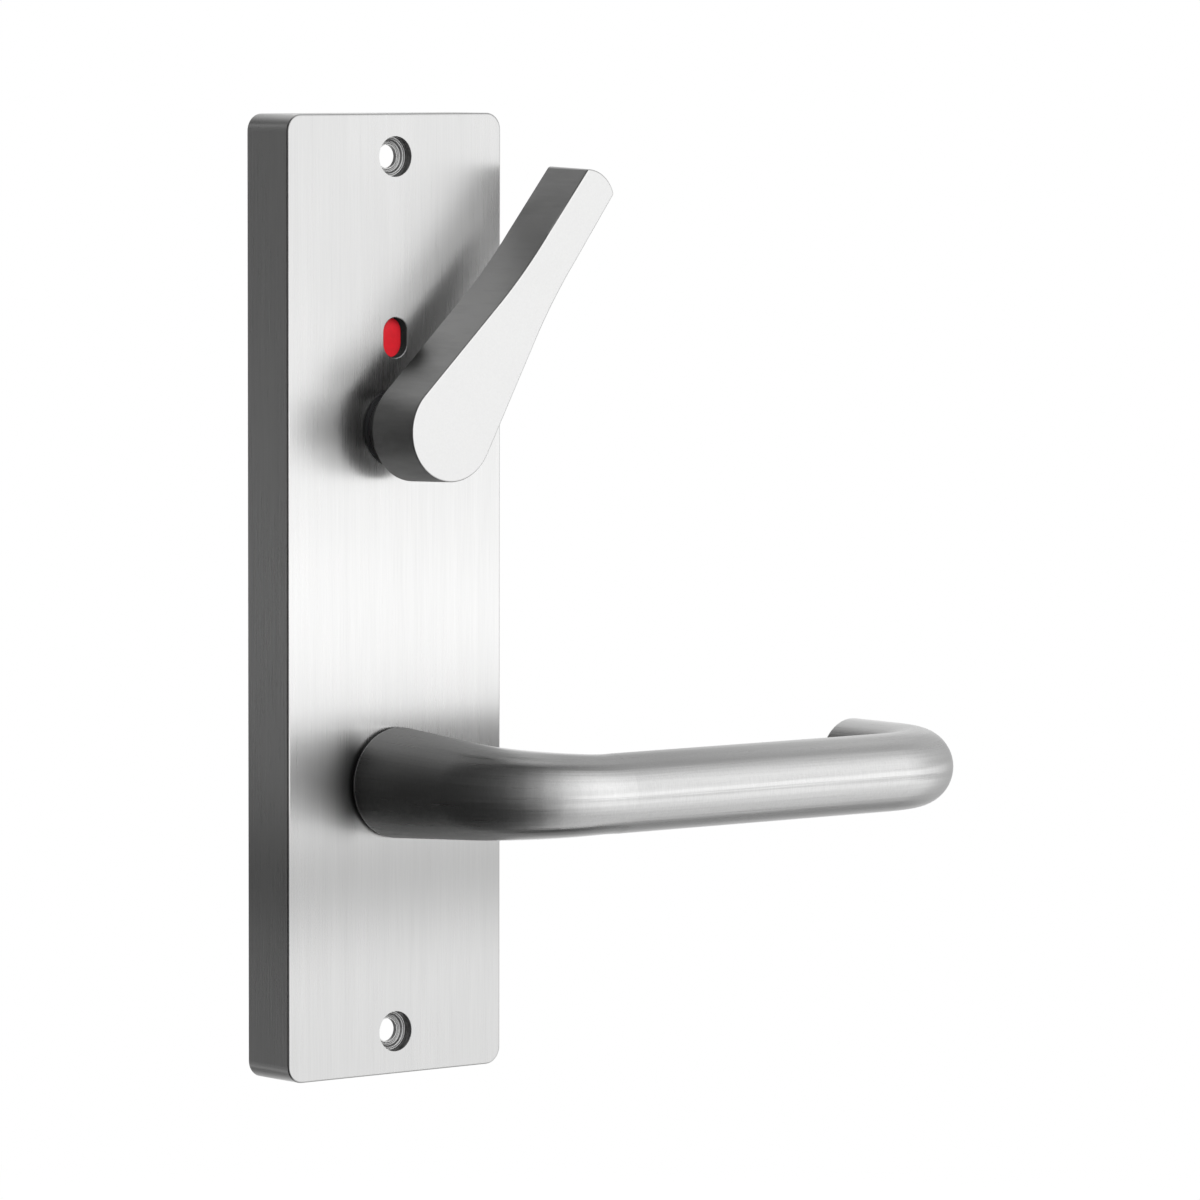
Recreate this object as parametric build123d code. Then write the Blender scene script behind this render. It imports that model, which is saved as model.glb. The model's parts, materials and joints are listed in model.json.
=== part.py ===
# Lever handle and teardrop privacy turn on a hollow backplate.
# Millimetres. X runs along the lever, Y into the door, Z up.
# The origin is the centre of the plate's back face, midway between the two screw holes.

import math
import os
from build123d import *

# Backplate
plate_height = 225.0
plate_width = 62.5
plate_depth = 15.6
plate_corner_radius = 4.0
plate_arris = 0.5
plate_skin = 2.4
plate_wall = 3.0
pocket_corner_radius = 2.5
middle_rib_width = 6.0

# Screw holes: counterbore, small step, countersink, then the clear hole
screw_pitch = 205.0
screw_bore_radius = 4.75
screw_bore_depth = 2.3
countersink_radius = 4.35
countersink_end_radius = 3.35
countersink_depth = 1.0
screw_clear_radius = 2.75
screw_pad_radius = 7.5
screw_pad_thickness = 4.4

# Places of the two spindle axes, and the window over the middle of the flags' band
lever_axis_z = -43.8
turn_axis_z = 39.3
window_width = 6.8
window_height = 9.4
window_arris = 0.2

# Lever bar
bar_radius = 9.3
lever_base_radius = 13.0
lever_standoff = 52.5
lever_reach = 127.0
neck_bend_radius = 23.0
outer_bend_radius = 21.0
return_length = 36.8
taper_length = 60.0
base_land = 0.8
base_arris = 0.3
end_round = 0.8

# Lever shank, bearing and spindle
shank_radius = 9.0
shank_flats = 15.0
shank_end_inset = 0.6
bush_wall = 2.0
lever_flange_radius = 12.5
lever_flange = 0.7
lever_boss_wall = 2.5
lever_boss_back = 5.2
lever_washer_thickness = 0.6
lever_washer_radius = 13.0
drive_thickness = 2.0
drive_radius = 19.6
spindle_side = 8.0
spindle_arris = 0.6
spindle_inner_end = 14.0
spindle_outer_end = 30.0
spindle_pin_radius = 1.5
spindle_pin_depth = 10.0

# Torsion spring that lifts the lever
wire_radius = 0.8
coil_radius = 15.8
coil_turns = 2.5
coil_pitch = 2.15
coil_front_gap = 0.2
leg_bend_radius = 1.8
spring_ring_gap = 1.6
spring_ring_wall = 2.5
leg_slot_clearance = 0.3
anchor_leg_reach = 1.0
coil_end_angle = 270.0

# Stops
lever_travel = 40.0
lobe_radius = 25.2
lobe_half_angle = 12.0
stop_pin_radius = 2.0
stop_pin_back = 2.2
stop_pin_front = 12.6
stop_pin_lead = 0.3
stop_boss_radius = 4.0
stop_boss_back = 10.0
lever_stop_radius = 23.4
stop_gap = 0.3

# Teardrop turn
turn_lean = 37.6
turn_travel = 75.2
blade_front = 37.4
blade_thickness = 14.6
blade_draft = 1.8
hub_radius = 12.2
side_angle = 9.0
arm_half_width = 5.7
arm_blend = 22.0
tip_half_width = 5.3
tip_reach = 74.3
tip_end_radius = 8.5
tip_corner_radius = 1.2
blade_edge = 0.4
turn_neck_radius = 8.2

# Turn shaft, bearing and tail
turn_shaft_radius = 7.0
turn_end_radius = 6.0
turn_end_flats = 9.0
turn_end_inset = 3.2
turn_bush_wall = 1.6
turn_flange_radius = 9.2
turn_flange = 0.5
turn_boss_wall = 2.6
turn_boss_back = 9.6
tail_side = 5.0
tail_arris = 0.4
tail_inner_end = 15.0
tail_outer_end = 30.0
tail_pin_radius = 1.0
tail_pin_depth = 12.6

# Indicator
carrier_thickness = 2.0
carrier_hub_radius = 9.5
carrier_hub_rise = 0.6
flag_wall_gap = 2.25
flag_band = 10.0
flag_half_angle = 15.0
flag_thickness = 0.7
flag_margin = 0.5
flag_behind_skin = 0.2
rivet_radius = 0.6
rivet_head_radius = 1.1
rivet_head = 0.4
rivet_angle = 12.2
rivet_edge = 1.7
lug_radius = 19.0
lug_half_angle = 10.0
turn_stop_radius = 17.0
turn_washer_radius = 9.8
turn_washer_thickness = 0.8
spring_washer_thickness = 0.4
spring_washer_rise = 0.5

# Retaining rings
lever_ring_thickness = 1.2
turn_ring_thickness = 1.0
ring_groove_depth = 0.5
ring_width = 2.1
ring_gap_angle = 36.0
ring_eye_radius = 1.8
ring_eye_hole = 0.8

# Cross pins and the lead at the door end of both square bars
pin_inset = 0.5
lead_share = 0.8

# Clearances
running_clearance = 0.05
socket_clearance = 0.1
axial_play = 0.05
seat_clearance = 0.02

# How far a cutting tool runs past a face, and how near two points count as one
cut_overrun = 1.0
same_point = 0.01


def front_plane(depth, z=0.0):
    """Plane parallel to the door, `depth` in front of it: local x is X and local y is Z."""
    return Plane(origin=(0, -depth, z), x_dir=(1, 0, 0), z_dir=(0, -1, 0))


def slab(sketch, back, front, z=0.0):
    """Sketch in the front view, made solid from `back` to `front`, both measured out from the door."""
    return extrude(front_plane(back, z) * sketch, amount=front - back)


def disc(radius, back, front, z=0.0):
    return slab(Circle(radius), back, front, z)


def ring(inner, outer, back, front, z=0.0):
    return slab(Circle(outer) - Circle(inner), back, front, z)


def polar(radius, clock_angle):
    """Point in the front view, with the angle clockwise from straight up."""
    angle = math.radians(clock_angle)
    return (radius * math.sin(angle), radius * math.cos(angle))


def sector(inner, outer, clock_angle, half_angle):
    """Piece of an annulus centred on a clock angle."""
    start = clock_angle - half_angle
    stop = clock_angle + half_angle
    outline = [
        ThreePointArc(polar(outer, start), polar(outer, clock_angle), polar(outer, stop)),
        Line(polar(outer, stop), polar(inner, stop)),
        ThreePointArc(polar(inner, stop), polar(inner, clock_angle), polar(inner, start)),
        Line(polar(inner, start), polar(outer, start)),
    ]
    return make_face(Wire(outline))


def double_d(radius, flats):
    """Round section with two flats that face up and down."""
    return Circle(radius) & Rectangle(2 * radius, flats)


def square_bar(side, arris, back, front, z):
    """Square bar along Y with broken edges and a lead at its door end."""
    bar = slab(RectangleRounded(side, side, arris), back, front, z)
    door_end = bar.faces().sort_by(Axis.Y)[-1]
    return chamfer(door_end.edges(), lead_share * arris)


def cross_pin(radius, length, depth, z):
    return Plane(origin=(-length / 2, -depth, z), x_dir=(0, 1, 0), z_dir=(1, 0, 0)) * Cylinder(
        radius, length, align=(Align.CENTER, Align.CENTER, Align.MIN)
    )


def retaining_ring(shaft_radius, back, front, z):
    """Open ring that sits in a shaft groove, with an eye at each side of its gap."""
    groove_radius = shaft_radius - ring_groove_depth
    inner = groove_radius + seat_clearance
    outer = inner + ring_width
    gap = sector(groove_radius / 2, 2 * outer, 180.0, ring_gap_angle / 2)
    profile = Circle(outer) - Circle(inner) - gap
    eye_ring = outer - ring_eye_radius / 2
    eye_turn = ring_gap_angle / 2 + math.degrees(ring_eye_radius / eye_ring)
    for side in (-1, 1):
        eye = Pos(*polar(eye_ring, 180.0 + side * eye_turn))
        profile += eye * Circle(ring_eye_radius) - Circle(inner)
    for side in (-1, 1):
        eye = Pos(*polar(eye_ring, 180.0 + side * eye_turn))
        profile -= eye * Circle(ring_eye_hole)
    return slab(profile, back, front, z)


# Depths worked out from the sizes above, all measured out from the door face

skin_back = plate_depth - plate_skin
lever_base_depth = plate_depth + lever_flange + axial_play
grip_depth = plate_depth + lever_standoff
lever_washer_front = lever_boss_back - axial_play
lever_washer_back = lever_washer_front - lever_washer_thickness
drive_front = lever_washer_back - axial_play
drive_back = drive_front - drive_thickness
lever_ring_front = drive_back - axial_play
lever_ring_back = lever_ring_front - lever_ring_thickness
lever_boss_radius = shank_radius + running_clearance + bush_wall + lever_boss_wall
spring_ring_inner = coil_radius + wire_radius + spring_ring_gap
spring_ring_outer = spring_ring_inner + spring_ring_wall
coil_front_depth = skin_back - coil_front_gap - wire_radius

blade_back = blade_front - blade_thickness
turn_shoulder = plate_depth + turn_flange + axial_play
turn_boss_radius = turn_shaft_radius + running_clearance + turn_bush_wall + turn_boss_wall
carrier_front = turn_boss_back - axial_play
carrier_back = carrier_front - carrier_thickness
carrier_hub_back = carrier_back - carrier_hub_rise
turn_washer_front = carrier_hub_back - axial_play
turn_washer_back = turn_washer_front - turn_washer_thickness
spring_washer_front = turn_washer_back - axial_play
spring_washer_back = spring_washer_front - spring_washer_thickness - spring_washer_rise
turn_ring_front = spring_washer_back - axial_play
turn_ring_back = turn_ring_front - turn_ring_thickness
flag_outer_radius = plate_width / 2 - plate_wall - flag_wall_gap
flag_inner_radius = flag_outer_radius - flag_band
window_rise = flag_outer_radius - flag_band / 2
rivet_ring_radius = flag_outer_radius - rivet_edge
flag_front = skin_back - flag_behind_skin
flag_back = flag_front - flag_thickness

# Clock angles of the stops, measured in the front view

lobe_rest = 180.0 - lever_travel / 2
lobe_step = lobe_half_angle + math.degrees((stop_pin_radius + stop_gap) / lever_stop_radius)
lever_stop_angles = (lobe_rest - lobe_step, lobe_rest + lever_travel + lobe_step)
lug_rest = 180.0 + turn_travel / 2
lug_step = lug_half_angle + math.degrees((stop_pin_radius + stop_gap) / turn_stop_radius)
turn_stop_angles = (lug_rest - turn_travel - lug_step, lug_rest + lug_step)
green_angle = turn_travel


def stop_pin_places():
    """Front-view places of the four stop pins: two for the lever, two for the turn."""
    places = []
    for angle in lever_stop_angles:
        x, z = polar(lever_stop_radius, angle)
        places.append((x, z + lever_axis_z))
    for angle in turn_stop_angles:
        x, z = polar(turn_stop_radius, angle)
        places.append((x, z + turn_axis_z))
    return places


def screw_hole():
    """Stepped hole as a solid of revolution, to be cut from the plate."""
    seat = plate_depth - screw_bore_depth
    clear = seat - countersink_depth
    profile = Polyline(
        (0, -plate_depth - cut_overrun),
        (screw_bore_radius, -plate_depth - cut_overrun),
        (screw_bore_radius, -seat),
        (countersink_radius, -seat),
        (countersink_end_radius, -clear),
        (screw_clear_radius, -clear),
        (screw_clear_radius, 0),
        (0, 0),
        close=True,
    )
    return revolve(make_face(profile), Axis.Y)


def make_backplate():
    plate = slab(RectangleRounded(plate_width, plate_height, plate_corner_radius), 0, plate_depth)
    plate = fillet(plate.faces().sort_by(Axis.Y)[0].edges(), plate_arris)

    pocket_width = plate_width - 2 * plate_wall
    pocket_height = plate_height / 2 - plate_wall - middle_rib_width / 2
    pocket_centre = middle_rib_width / 2 + pocket_height / 2
    for side in (-1, 1):
        pocket = RectangleRounded(pocket_width, pocket_height, pocket_corner_radius)
        plate -= slab(pocket, 0, skin_back, side * pocket_centre)

    plate += disc(lever_boss_radius, lever_boss_back, skin_back, lever_axis_z)
    plate += spring_ring()
    plate += disc(turn_boss_radius, turn_boss_back, skin_back, turn_axis_z)
    for x, z in stop_pin_places():
        plate += Pos(x, 0, 0) * disc(stop_boss_radius, stop_boss_back, skin_back, z)
    for side in (-1, 1):
        pad_back = plate_depth - screw_pad_thickness
        plate += disc(screw_pad_radius, pad_back, skin_back, side * screw_pitch / 2)

    lever_bore = shank_radius + running_clearance + bush_wall + seat_clearance
    plate -= disc(lever_bore, 0, plate_depth, lever_axis_z)
    turn_bore = turn_shaft_radius + running_clearance + turn_bush_wall + seat_clearance
    plate -= disc(turn_bore, 0, plate_depth, turn_axis_z)
    for x, z in stop_pin_places():
        hole = disc(stop_pin_radius + seat_clearance, stop_boss_back, stop_pin_front, z)
        plate -= Pos(x, 0, 0) * hole
    for side in (-1, 1):
        plate -= Pos(0, 0, side * screw_pitch / 2) * screw_hole()

    window = SlotOverall(window_height, window_width, rotation=90)
    plate -= slab(window, skin_back, plate_depth, turn_axis_z + window_rise)
    window_centre = Vector(0, -plate_depth, turn_axis_z + window_rise)
    front_edges = plate.faces().sort_by(Axis.Y)[0].edges()
    rim = [edge for edge in front_edges if (edge.center() - window_centre).length < window_height]
    return chamfer(rim, window_arris)


def spring_ring():
    """Wall round the torsion spring, with a slot for the spring's fixed leg."""
    width = 2 * (wire_radius + leg_slot_clearance)
    length = 2 * spring_ring_wall + spring_ring_gap
    middle = (spring_ring_inner + spring_ring_outer) / 2
    slot = Pos(-leg_bend_radius, middle) * Rectangle(width, length)
    profile = Circle(spring_ring_outer) - Circle(spring_ring_inner)
    profile -= Rot(0, 0, -coil_start_angle()) * slot
    return slab(profile, lever_boss_back, skin_back, lever_axis_z)


def coil_start_angle():
    return coil_end_angle - 360.0 * coil_turns


def coil_point(clock_angle):
    turned = (clock_angle - coil_start_angle()) / 360.0
    x, z = polar(coil_radius, clock_angle)
    return Vector(x, -coil_front_depth + turned * coil_pitch, z + lever_axis_z)


def coil_tangent(clock_angle):
    x, z = polar(coil_radius, clock_angle + 90.0)
    return Vector(x, coil_pitch / (2 * math.pi), z).normalized()


def biarc(start, start_tangent, stop, stop_tangent):
    """Two arcs that leave start and reach stop along the given directions."""
    chord = stop - start
    both = start_tangent + stop_tangent
    a = 2 * (1 - start_tangent.dot(stop_tangent))
    b = 2 * chord.dot(both)
    reach = (math.sqrt(b * b + 4 * a * chord.dot(chord)) - b) / (2 * a)
    joint = (start + start_tangent * reach + stop - stop_tangent * reach) / 2
    first = TangentArc(start, joint, tangent=start_tangent)
    second = TangentArc(joint, stop, tangent=first % 1)
    return [first, second]


def spring_path():
    """Anchor leg, turns and drive leg of the torsion spring, as straight runs and arcs."""
    first_angle = coil_start_angle()
    start = coil_point(first_angle)
    start_tangent = coil_tangent(first_angle)
    x, z = polar(1.0, first_angle)
    outward = Vector(x, 0, z)
    bend_centre = start + outward * leg_bend_radius
    leg_root = bend_centre - start_tangent * leg_bend_radius
    leg_reach = spring_ring_outer + anchor_leg_reach - coil_radius - leg_bend_radius
    leg_tip = leg_root + outward * leg_reach
    half = math.sqrt(0.5) * leg_bend_radius
    bend_middle = bend_centre - outward * half - start_tangent * half
    edges = [Line(leg_tip, leg_root), ThreePointArc(leg_root, bend_middle, start)]

    quarter_turns = int(round(coil_turns * 4))
    for step in range(quarter_turns):
        a0 = first_angle + step * 360.0 * coil_turns / quarter_turns
        a1 = first_angle + (step + 1) * 360.0 * coil_turns / quarter_turns
        edges += biarc(coil_point(a0), coil_tangent(a0), coil_point(a1), coil_tangent(a1))

    stop = coil_point(coil_end_angle)
    stop_tangent = coil_tangent(coil_end_angle)
    into_door = Vector(0, 1, 0)
    side = (into_door - stop_tangent * into_door.dot(stop_tangent)).normalized()
    turn = math.acos(stop_tangent.dot(into_door))
    centre = stop + side * leg_bend_radius

    def bend_point(angle):
        return centre + (stop_tangent * math.sin(angle) - side * math.cos(angle)) * leg_bend_radius

    bend_end = bend_point(turn)
    leg_back = Vector(bend_end.X, -drive_back - axial_play, bend_end.Z)
    edges += [ThreePointArc(stop, bend_point(turn / 2), bend_end), Line(bend_end, leg_back)]
    return Wire(edges)


def make_return_spring():
    path = spring_path()
    section = Plane(origin=path @ 0, z_dir=path % 0) * Circle(wire_radius)
    return sweep(section, path=path)


def spring_gap():
    """Least clear distance between turns of the spring, measured on points of its path."""
    path = spring_path()
    count = 600
    points = [path @ (i / count) for i in range(count + 1)]
    skip = int(count * math.pi * coil_radius / path.length)
    least = min(
        (points[i] - points[j]).length
        for i in range(0, count + 1, 3)
        for j in range(i + skip, count + 1)
    )
    return least - 2 * wire_radius


def drive_leg_place():
    """Front-view place of the spring's rear leg, from the lever axis."""
    end = spring_path() @ 1
    return (end.X, end.Z - lever_axis_z)


def flanged_bush(inner, wall, flange_radius, flange, boss_back, z):
    bush = ring(inner, inner + wall, boss_back, plate_depth, z)
    bush += ring(inner, flange_radius, plate_depth, plate_depth + flange, z)
    return bush


def make_lever_bush():
    inner = shank_radius + running_clearance
    flange = (lever_flange_radius, lever_flange)
    return flanged_bush(inner, bush_wall, *flange, lever_boss_back, lever_axis_z)


def make_turn_bush():
    inner = turn_shaft_radius + running_clearance
    flange = (turn_flange_radius, turn_flange)
    return flanged_bush(inner, turn_bush_wall, *flange, turn_boss_back, turn_axis_z)


def make_stop_pins():
    pins = []
    for x, z in stop_pin_places():
        pin = Pos(x, 0, 0) * disc(stop_pin_radius, stop_pin_back, stop_pin_front, z)
        pins.append(chamfer(pin.edges().sort_by(Axis.Y)[-1], stop_pin_lead))
    return Compound(children=pins)


def bar_radius_at(run):
    """Radius of the lever bar at a distance along its centre line from the base."""
    share = min(run / taper_length, 1.0)
    return lever_base_radius + (bar_radius - lever_base_radius) * share


def bar_section(x, depth, heading, radius):
    """Circle across the bar; heading is 0 straight out of the plate and 90 along the lever."""
    turn = math.radians(heading)
    direction = (math.sin(turn), -math.cos(turn), 0)
    place = Plane(origin=(x, -depth, lever_axis_z), x_dir=(0, 0, 1), z_dir=direction)
    return place * Circle(radius)


def make_neck():
    """Tapered neck, turned, and first bend, lofted through circles."""
    neck_end = grip_depth - neck_bend_radius
    end_radius = bar_radius_at(neck_end - lever_base_depth)
    profile = Polyline(
        (0, -neck_end),
        (end_radius, -neck_end),
        (lever_base_radius, -lever_base_depth - base_land),
        (lever_base_radius, -lever_base_depth - base_arris),
        (lever_base_radius - base_arris, -lever_base_depth),
        (0, -lever_base_depth),
        close=True,
    )
    neck = Pos(0, 0, lever_axis_z) * revolve(make_face(profile), Axis.Y)
    sections = []
    bend_steps = 6
    for step in range(bend_steps + 1):
        heading = 90.0 * step / bend_steps
        turn = math.radians(heading)
        x = neck_bend_radius * (1 - math.cos(turn))
        depth = grip_depth - neck_bend_radius * (1 - math.sin(turn))
        run = neck_end - lever_base_depth + neck_bend_radius * turn
        sections.append(bar_section(x, depth, heading, bar_radius_at(run)))
    return neck + loft(sections)


def make_grip():
    """Straight grip, outer bend and return end."""
    corner_x = lever_reach - outer_bend_radius
    grip_start = bar_section(neck_bend_radius, grip_depth, 90, bar_radius)
    grip = extrude(grip_start, amount=corner_x - neck_bend_radius)
    bend_axis = Axis((corner_x, -grip_depth + outer_bend_radius, lever_axis_z), (0, 0, 1))
    bend = revolve(bar_section(corner_x, grip_depth, 90, bar_radius), bend_axis, 90)
    end_section = bar_section(lever_reach, grip_depth - outer_bend_radius, 180, bar_radius)
    end = extrude(end_section, amount=return_length - outer_bend_radius)
    end = fillet(end.edges().sort_by(Axis.Y)[-1], end_round)
    return grip + bend + end


def make_shank():
    """Round shank with flats for the drive plate, a ring groove, and a square socket."""
    shank = disc(shank_radius, drive_front, lever_base_depth, lever_axis_z)
    shank += slab(double_d(shank_radius, shank_flats), shank_end_inset, drive_front, lever_axis_z)
    groove_front = lever_ring_front + seat_clearance
    groove_back = lever_ring_back - seat_clearance
    groove_floor = shank_radius - ring_groove_depth
    shank -= ring(groove_floor, 2 * shank_radius, groove_back, groove_front, lever_axis_z)
    socket = spindle_side + 2 * socket_clearance
    shank -= slab(Rectangle(socket, socket), 0, spindle_inner_end + socket_clearance, lever_axis_z)
    return shank


def make_lever_handle():
    lever = make_neck() + make_grip() + make_shank()
    hole = cross_pin(spindle_pin_radius + seat_clearance, 3 * shank_radius, spindle_pin_depth, lever_axis_z)
    return lever - hole


def make_lever_spindle():
    bar = square_bar(spindle_side, spindle_arris, -spindle_outer_end, spindle_inner_end, lever_axis_z)
    hole = spindle_pin_radius + seat_clearance
    return bar - cross_pin(hole, 3 * spindle_side, spindle_pin_depth, lever_axis_z)


def make_spindle_pin():
    length = 2 * (shank_radius - pin_inset)
    return cross_pin(spindle_pin_radius, length, spindle_pin_depth, lever_axis_z)


def make_lever_washer():
    inner = shank_radius + running_clearance
    return ring(inner, lever_washer_radius, lever_washer_back, lever_washer_front, lever_axis_z)


def make_drive_plate():
    profile = Circle(drive_radius)
    profile += sector(drive_radius / 2, lobe_radius, lobe_rest, lobe_half_angle)
    profile -= double_d(shank_radius + socket_clearance, shank_flats + 2 * socket_clearance)
    profile -= Pos(*drive_leg_place()) * Circle(wire_radius + socket_clearance)
    return slab(profile, drive_back, drive_front, lever_axis_z)


def make_lever_circlip():
    return retaining_ring(shank_radius, lever_ring_back, lever_ring_front, lever_axis_z)


def teardrop():
    """Front-view outline of the blade, upright, with the hub centred on the turn's axis."""
    slope = math.radians(side_angle)
    hub_point = (hub_radius * math.cos(slope), hub_radius * math.sin(slope))
    corner_rise = hub_point[1] + (hub_point[0] - arm_half_width) / math.tan(slope)
    half_blend = arm_blend / 2
    blend_out = arm_half_width + half_blend * math.sin(slope)
    blend_start = (blend_out, corner_rise - half_blend * math.cos(slope))
    blend_stop = (arm_half_width, corner_rise + half_blend)
    tip_rise = tip_reach - tip_end_radius + math.sqrt(tip_end_radius**2 - tip_half_width**2)
    right = [
        ThreePointArc((0, -hub_radius), polar(hub_radius, 135.0), hub_point),
        Line(hub_point, blend_start),
        TangentArc(blend_start, blend_stop, tangent=(-math.sin(slope), math.cos(slope))),
        Line(blend_stop, (tip_half_width, tip_rise)),
        TangentArc((0, tip_reach), (tip_half_width, tip_rise), tangent=(1, 0)),
    ]
    left = [edge.mirror(Plane.YZ) for edge in right]
    outline = make_face(Wire(right + left))
    tip_points = [v for v in outline.vertices() if v.Y > tip_rise - same_point]
    corners = [v for v in tip_points if abs(v.X) > same_point]
    return fillet(corners, tip_corner_radius)


def make_turn_handle():
    outline = front_plane(blade_back, turn_axis_z) * Rot(0, 0, -turn_lean) * teardrop()
    blade = extrude(outline, amount=blade_thickness, taper=blade_draft)
    blade = fillet(blade.faces().sort_by(Axis.Y)[0].edges(), blade_edge)
    neck = disc(turn_neck_radius, turn_shoulder, blade_back, turn_axis_z)
    handle = blade + neck + disc(turn_shaft_radius, carrier_front, turn_shoulder, turn_axis_z)
    end = slab(double_d(turn_end_radius, turn_end_flats), turn_end_inset, carrier_front)
    handle += Pos(0, 0, turn_axis_z) * Rot(0, turn_lean, 0) * end
    groove_front = turn_ring_front + seat_clearance
    groove_back = turn_ring_back - seat_clearance
    groove_floor = turn_end_radius - ring_groove_depth
    handle -= ring(groove_floor, 2 * turn_end_radius, groove_back, groove_front, turn_axis_z)
    socket = tail_side + 2 * socket_clearance
    handle -= slab(Rectangle(socket, socket), 0, tail_inner_end + socket_clearance, turn_axis_z)
    hole = cross_pin(tail_pin_radius + seat_clearance, 3 * turn_shaft_radius, tail_pin_depth, turn_axis_z)
    return handle - hole


def make_turn_tail():
    bar = square_bar(tail_side, tail_arris, -tail_outer_end, tail_inner_end, turn_axis_z)
    return bar - cross_pin(tail_pin_radius + seat_clearance, 3 * tail_side, tail_pin_depth, turn_axis_z)


def make_tail_pin():
    length = 2 * (turn_shaft_radius - pin_inset)
    return cross_pin(tail_pin_radius, length, tail_pin_depth, turn_axis_z)


def rivet_places():
    """Front-view places of the flag rivets, from the turn's axis: two on each flag."""
    places = []
    for flag in (0.0, green_angle):
        for side in (-1, 1):
            places.append(polar(rivet_ring_radius, flag + side * rivet_angle))
    return places


def make_indicator_carrier():
    """Fan that links two raised pads to the hub, with the stop lug on the other side."""
    pad_inner = flag_inner_radius - flag_margin
    pad_outer = flag_outer_radius + flag_margin
    pad_half_angle = flag_half_angle + math.degrees(flag_margin / pad_outer)
    profile = Circle(carrier_hub_radius)
    middle = green_angle / 2
    profile += sector(carrier_hub_radius / 2, pad_outer, middle, middle + pad_half_angle)
    profile += sector(carrier_hub_radius / 2, lug_radius, lug_rest, lug_half_angle)
    carrier = slab(profile, carrier_back, carrier_front, turn_axis_z)
    carrier += disc(carrier_hub_radius, carrier_hub_back, carrier_front, turn_axis_z)
    for flag in (0.0, green_angle):
        pad = sector(pad_inner, pad_outer, flag, pad_half_angle)
        carrier += slab(pad, carrier_front, flag_back, turn_axis_z)
    key = double_d(turn_end_radius + socket_clearance, turn_end_flats + 2 * socket_clearance)
    hole = Rot(0, turn_lean, 0) * slab(key, 0, plate_depth)
    carrier -= Pos(0, 0, turn_axis_z) * hole
    for x, z in rivet_places():
        hole = disc(rivet_radius + seat_clearance, 0, plate_depth, z + turn_axis_z)
        carrier -= Pos(x, 0, 0) * hole
    return carrier


def make_flag(clock_angle):
    flag = slab(
        sector(flag_inner_radius, flag_outer_radius, clock_angle, flag_half_angle),
        flag_back,
        flag_front,
        turn_axis_z,
    )
    for x, z in rivet_places():
        hole = disc(rivet_radius + seat_clearance, 0, plate_depth, z + turn_axis_z)
        flag -= Pos(x, 0, 0) * hole
    return flag


def make_flag_rivets():
    """Rivets level with the flags in front, with a head behind the carrier."""
    rivets = []
    for x, z in rivet_places():
        shank = disc(rivet_radius, carrier_back, flag_front, z + turn_axis_z)
        head = disc(rivet_head_radius, carrier_back - rivet_head, carrier_back, z + turn_axis_z)
        rivets.append(Pos(x, 0, 0) * (shank + head))
    return Compound(children=rivets)


def make_turn_washer():
    inner = turn_end_radius + socket_clearance
    return ring(inner, turn_washer_radius, turn_washer_back, turn_washer_front, turn_axis_z)


def make_spring_washer():
    """Dished washer, high at its bore, as a solid of revolution."""
    inner = turn_end_radius + socket_clearance
    outer = turn_washer_radius - flag_margin
    profile = Polyline(
        (outer, -spring_washer_front),
        (outer, -spring_washer_front + spring_washer_thickness),
        (inner, -spring_washer_back),
        (inner, -spring_washer_back - spring_washer_thickness),
        close=True,
    )
    return Pos(0, 0, turn_axis_z) * revolve(make_face(profile), Axis.Y)


def make_turn_circlip():
    return retaining_ring(turn_end_radius, turn_ring_back, turn_ring_front, turn_axis_z)


def write_parts():
    os.makedirs("parts", exist_ok=True)
    pieces = {
        "backplate": make_backplate(),
        "lever_bush": make_lever_bush(),
        "turn_bush": make_turn_bush(),
        "stop_pins": make_stop_pins(),
        "return_spring": make_return_spring(),
        "lever_handle": make_lever_handle(),
        "lever_spindle": make_lever_spindle(),
        "spindle_pin": make_spindle_pin(),
        "lever_washer": make_lever_washer(),
        "drive_plate": make_drive_plate(),
        "lever_circlip": make_lever_circlip(),
        "turn_handle": make_turn_handle(),
        "turn_tail": make_turn_tail(),
        "tail_pin": make_tail_pin(),
        "indicator_carrier": make_indicator_carrier(),
        "red_flag": make_flag(0.0),
        "green_flag": make_flag(green_angle),
        "flag_rivets": make_flag_rivets(),
        "turn_washer": make_turn_washer(),
        "spring_washer": make_spring_washer(),
        "turn_circlip": make_turn_circlip(),
    }
    for name, shape in pieces.items():
        shape.label = name
        export_step(shape, os.path.join("parts", name + ".step"))
    print("least gap between spring turns", round(spring_gap(), 3))


write_parts()
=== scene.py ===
# Looks for the lever handle and teardrop privacy turn on a hollow backplate.
# Metres, in the CAD frame: X along the lever, Y into the door, Z up the plate.

import json
import math

import bmesh
import bpy
from mathutils import Matrix, Vector


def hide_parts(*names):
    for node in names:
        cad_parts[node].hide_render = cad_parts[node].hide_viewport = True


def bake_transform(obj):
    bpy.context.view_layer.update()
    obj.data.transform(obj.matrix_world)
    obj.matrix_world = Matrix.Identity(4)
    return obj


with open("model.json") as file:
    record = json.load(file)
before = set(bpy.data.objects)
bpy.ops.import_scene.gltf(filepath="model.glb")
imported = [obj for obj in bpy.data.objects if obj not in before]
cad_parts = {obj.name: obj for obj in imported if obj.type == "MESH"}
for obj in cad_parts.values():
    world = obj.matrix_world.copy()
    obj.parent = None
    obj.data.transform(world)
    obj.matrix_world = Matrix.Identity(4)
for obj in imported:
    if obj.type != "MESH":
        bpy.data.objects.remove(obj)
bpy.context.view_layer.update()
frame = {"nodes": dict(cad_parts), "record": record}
nodes = frame["nodes"]

MM = 0.001

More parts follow.
